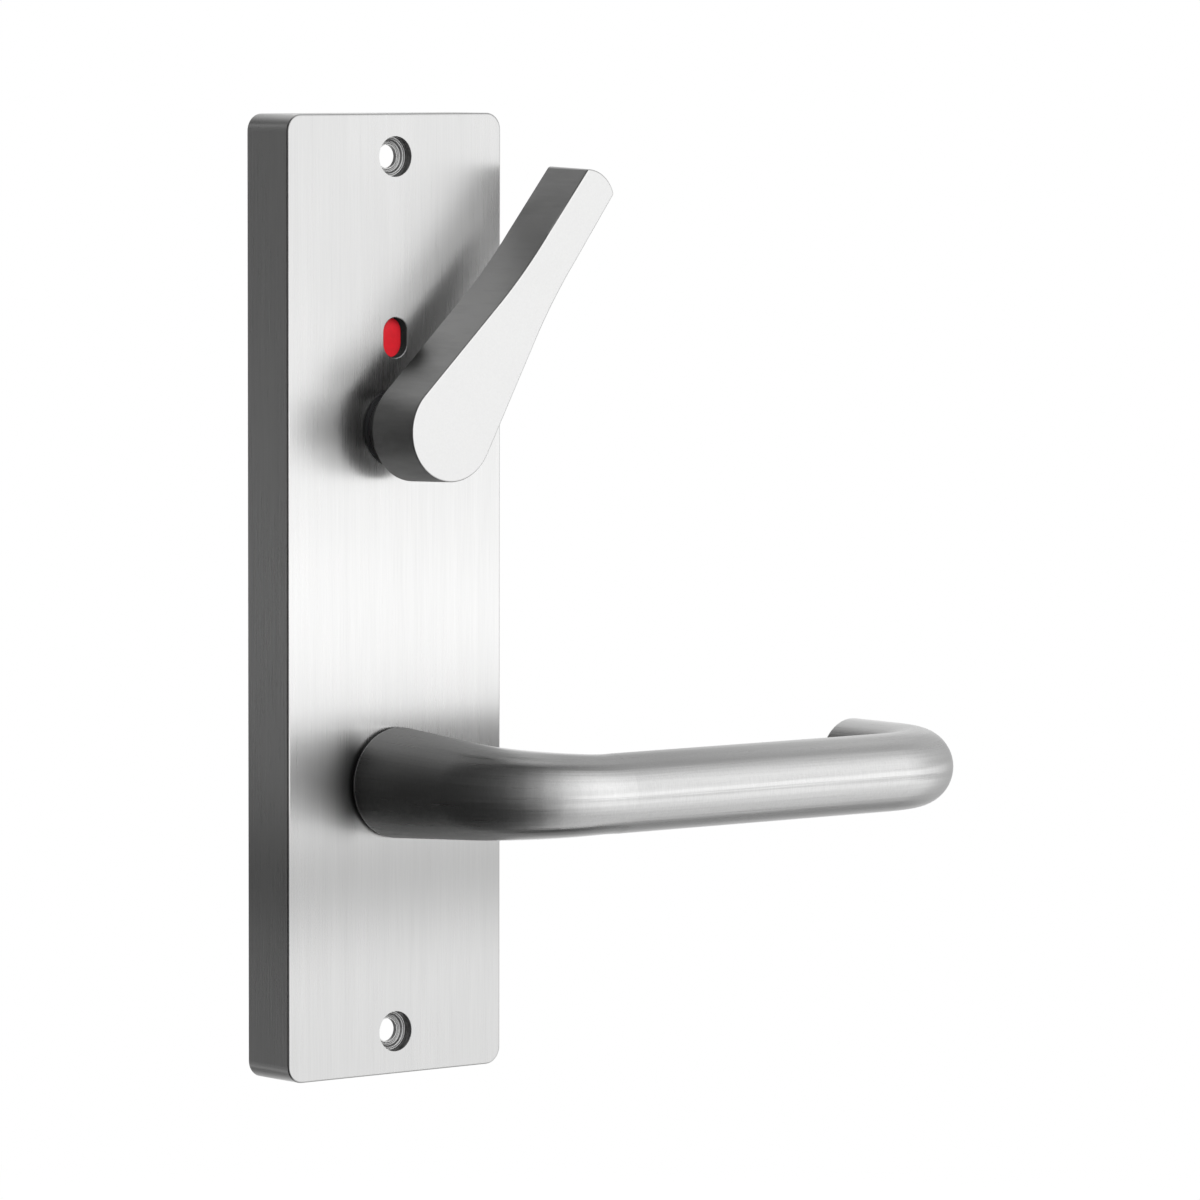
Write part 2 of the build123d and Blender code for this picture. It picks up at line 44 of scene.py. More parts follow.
# Camera, as fitted to edges measured in the photograph (image taken as 1200 by 1200)
VIEW_AZIMUTH = math.radians(-39.0)
VIEW_TILT = 0.0735
VIEW_ROLL = 0.0018
SENSOR = 36.0
LENS = 233.94
CAMERA_DISTANCE = 1838.08 * MM
CLIP_START = 0.1
CLIP_END = 50.0
LEVER_AXIS = Vector((0.0, 0.0, -43.8 * MM))
# Where the lever's axis lies in the camera's own plane, right and up of the picture's middle
AXIS_RIGHT = -57.70 * MM
AXIS_UP = -41.76 * MM

# Sizes repeated from the CAD source
PLATE_DEPTH = 15.6 * MM
PLATE_SKIN = 2.4 * MM
PLATE_WALL = 3.0 * MM
PLATE_HALF_WIDTH = 31.25 * MM
PLATE_HALF_HEIGHT = 112.5 * MM
SCREW_Z = 102.5 * MM
SCREW_BORE = 4.75 * MM
WINDOW_HALF_WIDTH = 3.4 * MM
WINDOW_HALF_HEIGHT = 4.7 * MM
WINDOW_Z = 60.3 * MM
WINDOW_ARRIS = 0.2 * MM
TURN_AXIS_Z = 39.3 * MM
GRIP_Y = -68.1 * MM
LEVER_REACH = 127.0 * MM
NECK_BEND = 23.0 * MM
OUTER_BEND = 21.0 * MM
RETURN_END_Y = GRIP_Y + 36.8 * MM
BLADE_FRONT = 37.4 * MM
WIRE_RADIUS = 0.8 * MM
COIL_RADIUS = 15.8 * MM
COIL_PITCH = 2.15 * MM
COIL_TURNS = 2.5
COIL_END_ANGLE = math.radians(270.0)
COIL_FRONT_DEPTH = 12.2 * MM
SPRING_BEND = 1.8 * MM
ANCHOR_LEG = 4.1 * MM
DRIVE_LEG_END = 2.45 * MM
# Steps of the wire's centre line in each turn of the coil and in each bend, the wire's sides, and
# the chamfer of its ends as a share of its radius
TURN_STEPS = 72
BEND_STEPS = 8
WIRE_SIDES = 20
WIRE_CHAMFER = 0.2


# Camera


def camera_axes():
    """Right, up and back directions of the camera, roll included."""
    back = Vector(
        (
            math.sin(VIEW_AZIMUTH) * math.cos(VIEW_TILT),
            -math.cos(VIEW_AZIMUTH) * math.cos(VIEW_TILT),
            math.sin(VIEW_TILT),
        )
    )
    right = Vector((math.cos(VIEW_AZIMUTH), math.sin(VIEW_AZIMUTH), 0.0))
    up = back.cross(right)
    rolled_right = math.cos(VIEW_ROLL) * right + math.sin(VIEW_ROLL) * up
    rolled_up = math.cos(VIEW_ROLL) * up - math.sin(VIEW_ROLL) * right
    return rolled_right, rolled_up, back


def make_camera():
    right, up, back = camera_axes()
    data = bpy.data.cameras.new("camera")
    data.sensor_fit = "HORIZONTAL"
    data.sensor_width = SENSOR
    data.lens = LENS
    data.clip_start = CLIP_START
    data.clip_end = CLIP_END
    camera = bpy.data.objects.new("camera", data)
    bpy.context.scene.collection.objects.link(camera)
    place = LEVER_AXIS + back * CAMERA_DISTANCE - right * AXIS_RIGHT - up * AXIS_UP
    turn = Matrix((right, up, back)).transposed().to_4x4()
    camera.matrix_world = Matrix.Translation(place) @ turn
    bpy.context.scene.camera = camera


# Shader helpers

# Most of a noise lies between these two values
NOISE_LOW = 0.3
NOISE_HIGH = 0.7


class Graph:
    """A node tree with short calls to add nodes and links."""

    def __init__(self, tree):
        self.tree = tree

    def add(self, kind, inputs=None, **settings):
        node = self.tree.nodes.new(kind)
        for key, value in settings.items():
            setattr(node, key, value)
        for key, value in (inputs or {}).items():
            self.feed(node.inputs[key], value)
        return node

    def feed(self, socket, value):
        if isinstance(value, bpy.types.NodeSocket):
            self.tree.links.new(value, socket)
        else:
            socket.default_value = value

    def math(self, operation, a, b=0.0, c=0.0):
        return self.add("ShaderNodeMath", {0: a, 1: b, 2: c}, operation=operation).outputs[0]

    def vector(self, operation, a, b=(0.0, 0.0, 0.0)):
        node = self.add("ShaderNodeVectorMath", {0: a, 1: b}, operation=operation)
        return node.outputs["Value" if operation == "LENGTH" else "Vector"]

    def combine(self, x, y, z):
        return self.add("ShaderNodeCombineXYZ", {"X": x, "Y": y, "Z": z}).outputs[0]

    def separate(self, value):
        return self.add("ShaderNodeSeparateXYZ", {0: value}).outputs

    def noise(self, where, detail=3.0, roughness=0.55):
        """Noise about 0.5, with one feature to each unit of `where`."""
        node = self.add(
            "ShaderNodeTexNoise",
            {"Vector": where, "Scale": 1.0, "Detail": detail, "Roughness": roughness},
        )
        return node.outputs["Fac"]

    def streaks(self, where, across, along, axis, detail, roughness):
        """Noise whose features are `along` long on the axis and `across` wide."""
        scale = [1.0 / across] * 3
        scale["XYZ".index(axis)] = 1.0 / along
        return self.noise(self.vector("MULTIPLY", where, tuple(scale)), detail, roughness)

    def span(self, value, low, high, to_low=0.0, to_high=1.0, curve="LINEAR"):
        inputs = {0: value, 1: low, 2: high, 3: to_low, 4: to_high}
        return self.add("ShaderNodeMapRange", inputs, interpolation_type=curve).outputs[0]

    def vary(self, noise, low, high):
        """Number from low to high, as the noise goes over its usual range."""
        return self.span(noise, NOISE_LOW, NOISE_HIGH, low, high)

    def soft_step(self, value, low, high, level=1.0):
        """0 below low and `level` above high, with a smooth way between."""
        return self.span(value, low, high, 0.0, level, "SMOOTHSTEP")

    def blend(self, factor, low, high):
        """Number that goes from low to high as the factor goes from 0 to 1."""
        node = self.add("ShaderNodeMix", data_type="FLOAT")
        self.feed(node.inputs[0], factor)
        self.feed(node.inputs[2], low)
        self.feed(node.inputs[3], high)
        return node.outputs[0]

    def blend_colour(self, factor, low, high):
        node = self.add("ShaderNodeMix", data_type="RGBA")
        self.feed(node.inputs[0], factor)
        self.feed(node.inputs[6], low)
        self.feed(node.inputs[7], high)
        return node.outputs[2]

    def product(self, *values):
        total = values[0]
        for value in values[1:]:
            total = self.math("MULTIPLY", total, value)
        return total

    def gain(self, *changes):
        """1 with the changes added, as a factor."""
        total = 1.0
        for change in changes:
            total = self.math("ADD", total, change)
        return total

    def scale(self, colour, factor):
        node = self.add("ShaderNodeVectorMath", {0: colour}, operation="SCALE")
        self.feed(node.inputs["Scale"], factor)
        return node.outputs[0]

    def bell(self, value, middle, width, height):
        """Smooth rise of the given height about the middle."""
        off = self.math("DIVIDE", self.math("SUBTRACT", value, middle), width)
        fall = self.math("MULTIPLY", self.math("POWER", off, 2.0), -1.0)
        return self.math("MULTIPLY", self.math("EXPONENT", fall), height)

    def rays(self, *kinds):
        """1 for rays of the kinds named, 0 for others."""
        path = self.add("ShaderNodeLightPath").outputs
        total = path[kinds[0]]
        for kind in kinds[1:]:
            total = self.math("MAXIMUM", total, path[kind])
        return total


def slot_materials():
    """The frame's own material of each slot, as its nodes carry it."""
    found = {}
    for entry in frame["record"]["subparts"]:
        found[entry["material_slot"]] = nodes[entry["node"]].data.materials[0]
    return found


SLOTS = slot_materials()


def material(slot, colour, metallic, roughness, anisotropic=0.0):
    """Empties the slot's material and gives it a plain shader to build on."""
    made = SLOTS[slot]
    made.use_nodes = True
    made.node_tree.nodes.clear()
    graph = Graph(made.node_tree)
    shader = graph.add("ShaderNodeBsdfPrincipled")
    out = graph.add("ShaderNodeOutputMaterial")
    graph.feed(out.inputs["Surface"], shader.outputs["BSDF"])
    shader.inputs["Base Color"].default_value = (*colour, 1.0)
    shader.inputs["Metallic"].default_value = metallic
    shader.inputs["Roughness"].default_value = roughness
    shader.inputs["Anisotropic"].default_value = anisotropic
    return graph, shader.inputs


def object_place(graph):
    return graph.add("ShaderNodeTexCoord").outputs["Object"]


def bump(graph, inputs, height, strength, distance):
    node = graph.add(
        "ShaderNodeBump",
        {"Strength": strength, "Distance": distance, "Height": height},
    )
    graph.feed(inputs["Normal"], node.outputs[0])


# Steels

STEEL = (0.80, 0.80, 0.797)
TURN_STEEL = (0.82, 0.82, 0.817)
# Plain roughness of each steel, and how far its highlights are drawn out across the brushing
PLATE_FINISH = (0.29, 0.6)
LEVER_FINISH = (0.29, 0.85)
TURN_FINISH = (0.33, 0.0)
# No tone makes steel brighter than this share of its own colour, which keeps it under 1
MOST_LEVEL = 1.2
# How bright each steel is where other steel mirrors it: painted shade in the reflections
PLATE_MIRRORED = 0.24
# Painted light in the plate's reflections behind the turn's arm: from and up to these heights, by
# how much
PLATE_MIRRORED_FROM = (50 * MM, 64 * MM, 0.12)
PLATE_MIRRORED_TO = (86 * MM, 98 * MM, -0.15)
HOLE_MIRRORED = 0.7
LEVER_MIRRORED = 0.5
TURN_HUB_MIRRORED = 0.95
TURN_ARM_MIRRORED = 0.5
# Heights over the turn's axis where its hub gives way to its arm
TURN_ARM_FROM = (6 * MM, 36 * MM)

# Streaks and grains: width, length, the axis that they run along, detail and roughness of the noise
PLATE_HAIR = (0.22 * MM, 14 * MM, "Z", 3.0, 0.6)
PLATE_FINE = (0.7 * MM, 34 * MM, "Z", 3.0, 0.55)
PLATE_BAND = (3.2 * MM, 90 * MM, "Z", 2.0, 0.5)
PLATE_CLOUD = (22 * MM, 40 * MM, "Z", 2.0, 0.5)
CAST_PITS = (0.9 * MM, 0.9 * MM, "Z", 4.0, 0.65)
LEVER_GRAIN = (0.35 * MM, 0.35 * MM, "X", 2.0, 0.5)
LINISHING = (0.3 * MM, 9 * MM, "X", 3.0, 0.55)
TURN_GRAIN = (0.4 * MM, 0.4 * MM, "X", 4.0, 0.6)
TURN_CLOUD = (9 * MM, 9 * MM, "X", 3.0, 0.5)
FLANK_PATCH = (3.5 * MM, 12 * MM, "Y", 2.0, 0.5)
FLANK_STREAK = (0.8 * MM, 8 * MM, "Y", 2.0, 0.5)
# Lines on the lever: changes round the bar for each radian, and along it for each metre
GROUND_LINES = (2.5, 2600.0)
HAIR_LINES = (40.0, 60.0)
STREAK_LINES = (14.0, 24.0)
RIDGE_LINES = (3.4, 7.0)
# Least and most factor by which each noise changes the steel's level
PLATE_HAIR_LEVEL = (0.965, 1.03)
PLATE_FINE_LEVEL = (0.98, 1.015)
PLATE_BAND_LEVEL = (0.985, 1.01)
GROUND_LEVEL = (0.955, 1.04)
HAIR_LEVEL = (0.97, 1.025)
STREAK_LEVEL = (0.965, 1.02)
LEVER_GRAIN_LEVEL = (0.985, 1.015)
LINISHED_LEVEL = (0.95, 1.04)
TURN_GRAIN_LEVEL = (0.975, 1.02)
TURN_CLOUD_LEVEL = (0.98, 1.015)
# What patches and streaks add to the level on the turn's flank
FLANK_PATCH_CHANGE = (-0.05, 0.05)
FLANK_STREAK_CHANGE = (-0.03, 0.03)
# Least and most roughness of each steel, and what patches and streaks add to it
PLATE_ROUGH = (0.27, 0.31)
PLATE_ROUGH_CHANGE = (-0.015, 0.015)
LEVER_ROUGH = (0.275, 0.305)
LEVER_ROUGH_CHANGE = (-0.015, 0.015)
TURN_ROUGH = (0.30, 0.36)
# Strength and depth of the bumps
PLATE_BUMP = (0.5, 0.03 * MM)
LEVER_BUMP = (0.6, 0.16 * MM)
TURN_BUMP = (0.25, 0.02 * MM)
PLAIN_BUMP_DEPTH = 0.03 * MM


def steel_colour(graph, inputs, colour, level, in_mirror):
    """Colour of steel, with painted shade that darkens it where other steel mirrors it."""
    level = graph.math("MINIMUM", level, MOST_LEVEL)
    mirrored = graph.blend(graph.rays("Is Glossy Ray"), 1.0, in_mirror)
    graph.feed(inputs["Base Color"], graph.scale(colour, graph.product(level, mirrored)))


# Backplate

# Masks reach this far past the faces that they cover
MASK_MARGIN = 0.1 * MM
WINDOW_MARGIN = 0.05 * MM
# The screw holes are turned from this far below the plate's front
HOLE_START = 0.3 * MM
RING_PITCH = 0.55 * MM
RING_LEVELS = (0.6, 1.24)
# The screw holes' straight mouths are darkened: painted shade in the recess
MOUTH_STEEL = 0.45
CAST_STEEL = 0.55
CAST_SPREAD = 0.06
# Level of the window's wall, darker than the plate
WINDOW_WALL_LEVEL = 0.33
# Share of the wider streaks in the brushing's grooves
FINE_SHARE = 0.65
# How high pits and rings stand, where the brushing's grooves are 1
PIT_HEIGHT = 8.0
RING_HEIGHT = 3.0
CAST_ROUGH = 0.5
HOLE_ROUGH = 0.45
# Painted light and shade up the brushed plate: middle, width and by how much. They are a painted
# highlight across the middle, a painted shadow below the lever and painted shade near the bottom
PLATE_LIGHT_AND_SHADE = (
    (-4 * MM, 24 * MM, 0.1),
    (-64.5 * MM, 17 * MM, -0.36),
    (-104 * MM, 26 * MM, -0.09),
)
# Painted shade darkens the plate's top: from and up to these heights, by how much
SHADED_TOP = (20 * MM, 100 * MM, -0.13)
# The photograph's deep shade on the left of the lever's base and of the turn's base, drawn as dark
# crescents: height of the middle, radius, width and depth. They end above and below the base, where
# the share of the way that goes to the left is between these two values.
CRESCENTS = (
    (LEVER_AXIS.z + 1 * MM, 13.2 * MM, 5.9 * MM, 0.85),
    (TURN_AXIS_Z + 2 * MM, 9.5 * MM, 3.4 * MM, 0.52),
)
CRESCENT_ENDS = (0.62, 0.92)
# The same painted shade up on the left of the turn's base: place, width and by how much
SHADE_SPOT = (-15 * MM, TURN_AXIS_Z + 11 * MM)
SHADE_SPOT_TONE = (6.0 * MM, -0.2)


def way_from(graph, place, across, height):
    """Distance from a line that runs straight back through the plate at this place."""
    x, y, z = graph.separate(place)
    aside = graph.math("SUBTRACT", x, across)
    above = graph.math("SUBTRACT", z, height)
    return graph.vector("LENGTH", graph.combine(aside, above, 0.0))


def way_from_screw(graph, place):
    """Distance from the middle line of the nearer screw hole."""
    x, y, z = graph.separate(place)
    above = graph.math("SUBTRACT", graph.math("ABSOLUTE", z), SCREW_Z)
    return graph.vector("LENGTH", graph.combine(x, above, 0.0))


def inside_plate(graph, place):
    """1 on the cast surfaces behind the plate's skin, 0 on its outside and in its screw holes."""
    x, y, z = graph.separate(place)
    half_width = PLATE_HALF_WIDTH - PLATE_WALL + MASK_MARGIN
    half_height = PLATE_HALF_HEIGHT - PLATE_WALL + MASK_MARGIN
    return graph.product(
        graph.math("LESS_THAN", graph.math("ABSOLUTE", x), half_width),
        graph.math("LESS_THAN", graph.math("ABSOLUTE", z), half_height),
        graph.math("GREATER_THAN", y, PLATE_SKIN - PLATE_DEPTH - MASK_MARGIN),
        graph.math("GREATER_THAN", way_from_screw(graph, place), SCREW_BORE + MASK_MARGIN),
    )


def window_wall(graph, place):
    """1 on the wall of the window's cut, 0 elsewhere and on its broken edge."""
    x, y, z = graph.separate(place)
    above = graph.math("ABSOLUTE", graph.math("SUBTRACT", z, WINDOW_Z))
    return graph.product(
        graph.math("LESS_THAN", graph.math("ABSOLUTE", x), WINDOW_HALF_WIDTH + WINDOW_MARGIN),
        graph.math("LESS_THAN", above, WINDOW_HALF_HEIGHT + WINDOW_MARGIN),
        graph.math("GREATER_THAN", y, WINDOW_ARRIS - PLATE_DEPTH - WINDOW_MARGIN),
        graph.math("LESS_THAN", y, PLATE_SKIN - PLATE_DEPTH - WINDOW_MARGIN),
    )


def screw_holes(graph, place):
    """Masks of the holes' straight mouth and of the turned wall below it, and the turned rings."""
    x, y, z = graph.separate(place)
    way = way_from_screw(graph, place)
    below_front = graph.math("GREATER_THAN", y, HOLE_START - PLATE_DEPTH)
    off_mouth = graph.math("ABSOLUTE", graph.math("SUBTRACT", way, SCREW_BORE))
    mouth = graph.product(graph.math("LESS_THAN", off_mouth, MASK_MARGIN), below_front)
    wall = graph.product(graph.math("LESS_THAN", way, SCREW_BORE - MASK_MARGIN), below_front)
    rings = graph.math("SINE", graph.math("MULTIPLY", way, 2 * math.pi / RING_PITCH))
    return mouth, wall, rings


def painted_plate_shading(graph, place):
    """Painted light and shade on the brushed plate, as a factor."""
    x, y, z = graph.separate(place)
    tone = graph.gain(graph.soft_step(z, *SHADED_TOP), *(graph.bell(z, *change) for change in PLATE_LIGHT_AND_SHADE))
    for middle, radius, width, depth in CRESCENTS:
        ring = way_from(graph, place, 0.0, middle)
        leftward = graph.math("DIVIDE", x, graph.math("MULTIPLY", ring, -1.0))
        ends = graph.soft_step(leftward, *CRESCENT_ENDS)
        shade = graph.product(graph.bell(ring, radius, width, -depth), ends)
        tone = graph.product(tone, graph.gain(shade))
    spot = graph.bell(way_from(graph, place, *SHADE_SPOT), 0.0, *SHADE_SPOT_TONE)
    return graph.product(tone, graph.gain(spot))


def plate_steel():
    """Steel brushed up and down outside, left as cast inside, with the window's wall darker."""
    graph, inputs = material("plate_steel", STEEL, 1.0, *PLATE_FINISH)
    place = object_place(graph)
    x, y, z = graph.separate(place)
    cast = inside_plate(graph, place)
    mouth, turned, rings = screw_holes(graph, place)
    hair = graph.streaks(place, *PLATE_HAIR)
    fine = graph.streaks(place, *PLATE_FINE)
    band = graph.streaks(place, *PLATE_BAND)
    cloud = graph.streaks(place, *PLATE_CLOUD)
    pits = graph.streaks(place, *CAST_PITS)

    level = graph.product(
        graph.vary(hair, *PLATE_HAIR_LEVEL),
        graph.vary(fine, *PLATE_FINE_LEVEL),
        graph.vary(band, *PLATE_BAND_LEVEL),
        painted_plate_shading(graph, place),
    )
    cast_level = graph.vary(pits, CAST_STEEL - CAST_SPREAD, CAST_STEEL + CAST_SPREAD)
    level = graph.blend(cast, level, cast_level)
    level = graph.blend(turned, level, graph.span(rings, -1.0, 1.0, *RING_LEVELS))
    level = graph.blend(mouth, level, MOUTH_STEEL)
    level = graph.blend(window_wall(graph, place), level, WINDOW_WALL_LEVEL)
    behind_arm = graph.math(
        "ADD",
        graph.soft_step(z, *PLATE_MIRRORED_FROM),
        graph.soft_step(z, *PLATE_MIRRORED_TO),
    )
    mirrored = graph.math("ADD", PLATE_MIRRORED, behind_arm)
    mirrored = graph.blend(turned, mirrored, HOLE_MIRRORED)
    steel_colour(graph, inputs, STEEL, level, mirrored)

    patches = graph.vary(cloud, *PLATE_ROUGH_CHANGE)
    rough = graph.math("ADD", graph.vary(hair, *PLATE_ROUGH), patches)
    rough = graph.blend(turned, graph.blend(cast, rough, CAST_ROUGH), HOLE_ROUGH)
    graph.feed(inputs["Roughness"], rough)
    tangent = graph.add("ShaderNodeTangent", direction_type="RADIAL", axis="Z")
    graph.feed(inputs["Tangent"], tangent.outputs[0])
    grooves = graph.blend(FINE_SHARE, hair, fine)
    surface = graph.blend(cast, grooves, graph.math("MULTIPLY", pits, PIT_HEIGHT))
    surface = graph.blend(turned, surface, graph.math("MULTIPLY", rings, RING_HEIGHT))
    bump(graph, inputs, surface, *PLATE_BUMP)


# Lever

# Painted light and shade on the lever. The numbers of a tone are where it starts, where it is full
# and by how much it changes the steel. Those of the painted shade on the neck are its middle and
# its width along the neck, and the change.
NECK_SHADE = (-34 * MM, 16 * MM, -0.38)
NECK_HALF_HEIGHT = 7.5 * MM
# The grip's level goes evenly from one value to the other
GRIP_LEVEL = (25 * MM, 112 * MM, 0.97, 1.02)
# Painted light and shade on the bar's edges: the upper edge starts past the neck and goes from dark
# to light, the lower edge is painted light
UPPER_EDGE = (4.5 * MM, 9.0 * MM)
UPPER_EDGE_FROM = (0.0, 10 * MM)
UPPER_EDGE_LEVEL = (35 * MM, 95 * MM, -0.17, 0.14)
LOWER_EDGE_TONE = (5.0 * MM, 9.5 * MM, 0.2)
# Painted shade on the far bend, and painted light on the return
FAR_BEND_TONE = (117 * MM, 131 * MM, -0.17)
FAR_BEND_DEPTH = (-44 * MM, -57 * MM)
RETURN_FROM = (110 * MM, 116 * MM)
RETURN_TONE = (-57 * MM, -44 * MM, 0.2)
LEVER_BASE_EDGE = (-16.9 * MM, -16.8 * MM)
BASE_EDGE_ROUGH = 0.6
END_FACE_ROUGH = 0.34
END_FACE_MARGIN = 0.03 * MM
# How much more the end face's own direction counts than the direction along the bar
END_FACE_PULL = 20.0
STREAK_HEIGHT = 0.16
LINISHED_HEIGHT = 0.1


def bar_frame(graph, place):
    """Angle round the lever bar, and the direction along it, worked out from its centre line."""
    x, y, z = graph.separate(place)
    inner_x = graph.math("MAXIMUM", graph.math("SUBTRACT", NECK_BEND, x), 0.0)
    inner_y = graph.math("MAXIMUM", graph.math("SUBTRACT", GRIP_Y + NECK_BEND, y), 0.0)
    outer_x = graph.math("MAXIMUM", graph.math("SUBTRACT", x, LEVER_REACH - OUTER_BEND), 0.0)
    outer_y = graph.math("MAXIMUM", graph.math("SUBTRACT", GRIP_Y + OUTER_BEND, y), 0.0)
    neck_side = graph.math("LESS_THAN", x, LEVER_REACH / 2)

    across_x = graph.blend(neck_side, outer_x, inner_x)
    across_y = graph.blend(neck_side, outer_y, inner_y)
    bend_radius = graph.blend(neck_side, OUTER_BEND, NECK_BEND)
    run = graph.vector("LENGTH", graph.combine(across_x, across_y, 0.0))
    offset = graph.math("SUBTRACT", bend_radius, run)
    angle = graph.math("ARCTAN2", graph.math("SUBTRACT", z, LEVER_AXIS.z), offset)
    away = graph.math("MULTIPLY", across_x, graph.blend(neck_side, 1.0, -1.0))
    along = graph.vector("NORMALIZE", graph.combine(across_y, away, 0.0))
    return angle, along


def lever_light_and_shade(graph, place):
    """Painted light and shade along the lever, and the grip's even change of level, as a factor."""
    x, y, z = graph.separate(place)
    above = graph.math("SUBTRACT", z, LEVER_AXIS.z)
    neck = graph.product(graph.bell(y, *NECK_SHADE), graph.bell(above, 0.0, NECK_HALF_HEIGHT, 1.0))
    upper = graph.product(
        graph.soft_step(above, *UPPER_EDGE),
        graph.soft_step(x, *UPPER_EDGE_FROM),
        graph.span(x, *UPPER_EDGE_LEVEL),
    )
    lower = graph.soft_step(graph.math("MULTIPLY", above, -1.0), *LOWER_EDGE_TONE)
    back = graph.product(graph.soft_step(x, *RETURN_FROM), graph.soft_step(y, *RETURN_TONE))
    far = graph.product(graph.soft_step(x, *FAR_BEND_TONE), graph.soft_step(y, *FAR_BEND_DEPTH))
    edges = graph.gain(upper, lower, back, far)
    return graph.product(edges, graph.gain(neck), graph.span(x, *GRIP_LEVEL))


def lever_steel():
    """Steel bar ground round and round, with the long soft lines that bending it leaves."""
    graph, inputs = material("lever_steel", STEEL, 1.0, *LEVER_FINISH)
    place = object_place(graph)
    angle, along = bar_frame(graph, place)
    x, y, z = graph.separate(place)

    def lines(round_bar, along_bar):
        where = graph.combine(
            graph.math("MULTIPLY", angle, round_bar),
            graph.math("MULTIPLY", x, along_bar),
            graph.math("MULTIPLY", y, along_bar),
        )
        return graph.noise(where)

    ground = lines(*GROUND_LINES)
    hair = lines(*HAIR_LINES)
    streak = lines(*STREAK_LINES)
    ridge = lines(*RIDGE_LINES)
    linished = graph.streaks(place, *LINISHING)
    end_face = graph.product(
        graph.math("GREATER_THAN", y, RETURN_END_Y - END_FACE_MARGIN),
        graph.math("GREATER_THAN", x, LEVER_REACH / 2),
    )
    level = graph.product(
        graph.vary(ground, *GROUND_LEVEL),
        graph.vary(hair, *HAIR_LEVEL),
        graph.vary(streak, *STREAK_LEVEL),
        graph.vary(graph.streaks(place, *LEVER_GRAIN), *LEVER_GRAIN_LEVEL),
        lever_light_and_shade(graph, place),
    )
    level = graph.blend(end_face, level, graph.vary(linished, *LINISHED_LEVEL))
    steel_colour(graph, inputs, STEEL, level, LEVER_MIRRORED)

    streaky = graph.vary(streak, *LEVER_ROUGH_CHANGE)
    rough = graph.math("ADD", graph.vary(hair, *LEVER_ROUGH), streaky)
    rough = graph.blend(graph.soft_step(y, *LEVER_BASE_EDGE), rough, BASE_EDGE_ROUGH)
    graph.feed(inputs["Roughness"], graph.blend(end_face, rough, END_FACE_ROUGH))
    # The end face is flat and linished straight across, from left to right
    across = graph.combine(graph.math("MULTIPLY", end_face, END_FACE_PULL), 0.0, 0.0)
    tangent = graph.vector("NORMALIZE", graph.vector("ADD", along, across))
    graph.feed(inputs["Tangent"], tangent)
    surface = graph.math("ADD", ridge, graph.math("MULTIPLY", streak, STREAK_HEIGHT))
    surface = graph.blend(end_face, surface, graph.math("MULTIPLY", linished, LINISHED_HEIGHT))
    bump(graph, inputs, surface, *LEVER_BUMP)


# Turn

# Painted shade on the flank where the arm leaves the hub, painted light up the arm and painted
# shade at the tip
WAIST = (0.0, -22 * MM, 53.7 * MM)
WAIST_TONE = (6.5 * MM, -0.7)
ARM_TONE = (44 * MM, 62 * MM, 0.2)
TIP_TONE = (84 * MM, 96 * MM, -0.25)


def turn_steel():
    """Fine satin casting, even on its face and less so on its flank, with painted light and shade
    on the flank.
    """
    graph, inputs = material("turn_steel", TURN_STEEL, 1.0, *TURN_FINISH)
    place = object_place(graph)
    x, y, z = graph.separate(place)
    grain = graph.streaks(place, *TURN_GRAIN)
    cloud = graph.streaks(place, *TURN_CLOUD)
    flank = graph.math("GREATER_THAN", y, MASK_MARGIN - BLADE_FRONT)
    uneven = graph.math(
        "ADD",
        graph.vary(graph.streaks(place, *FLANK_PATCH), *FLANK_PATCH_CHANGE),
        graph.vary(graph.streaks(place, *FLANK_STREAK), *FLANK_STREAK_CHANGE),
    )
    arm = graph.math("ADD", graph.soft_step(z, *ARM_TONE), graph.soft_step(z, *TIP_TONE))
    from_waist = graph.vector("LENGTH", graph.vector("SUBTRACT", place, WAIST))
    level = graph.product(
        graph.vary(grain, *TURN_GRAIN_LEVEL),
        graph.vary(cloud, *TURN_CLOUD_LEVEL),
        graph.gain(graph.product(flank, uneven)),
        graph.gain(graph.bell(from_waist, 0.0, *WAIST_TONE)),
        graph.gain(graph.product(flank, arm)),
    )
    above = graph.math("SUBTRACT", z, TURN_AXIS_Z)
    mirrored = graph.span(above, *TURN_ARM_FROM, TURN_HUB_MIRRORED, TURN_ARM_MIRRORED)
    steel_colour(graph, inputs, TURN_STEEL, level, mirrored)
    graph.feed(inputs["Roughness"], graph.vary(cloud, *TURN_ROUGH))
    bump(graph, inputs, grain, *TURN_BUMP)


# Other materials

# Colour, metallic, least and most roughness, size of the grain and strength of its bump
PLAIN = {
    "bush_nylon": ((0.035, 0.035, 0.037), 0.0, 0.42, 0.55, 0.6 * MM, 0.2),
    "carrier_nylon": ((0.11, 0.11, 0.115), 0.0, 0.4, 0.55, 0.8 * MM, 0.2),
    "spring_steel": ((0.42, 0.42, 0.43), 1.0, 0.25, 0.4, 0.5 * MM, 0.2),
    "plated_steel": ((0.72, 0.715, 0.69), 1.0, 0.25, 0.38, 1.2 * MM, 0.2),
    "dark_steel": ((0.06, 0.06, 0.062), 0.6, 0.4, 0.55, 0.7 * MM, 0.2),
    "red_paint": ((0.80, 0.02, 0.033), 0.0, 0.3, 0.4, 1.5 * MM, 0.05),
    "green_paint": ((0.02, 0.26, 0.06), 0.0, 0.3, 0.4, 1.5 * MM, 0.05),
    "rivet_aluminium": ((0.8, 0.8, 0.81), 1.0, 0.25, 0.4, 0.5 * MM, 0.2),
}
# Detail and roughness of the grain's noise, and the least and most factor that it gives
PLAIN_NOISE = (4.0, 0.6)
PLAIN_LEVEL = (0.92, 1.06)
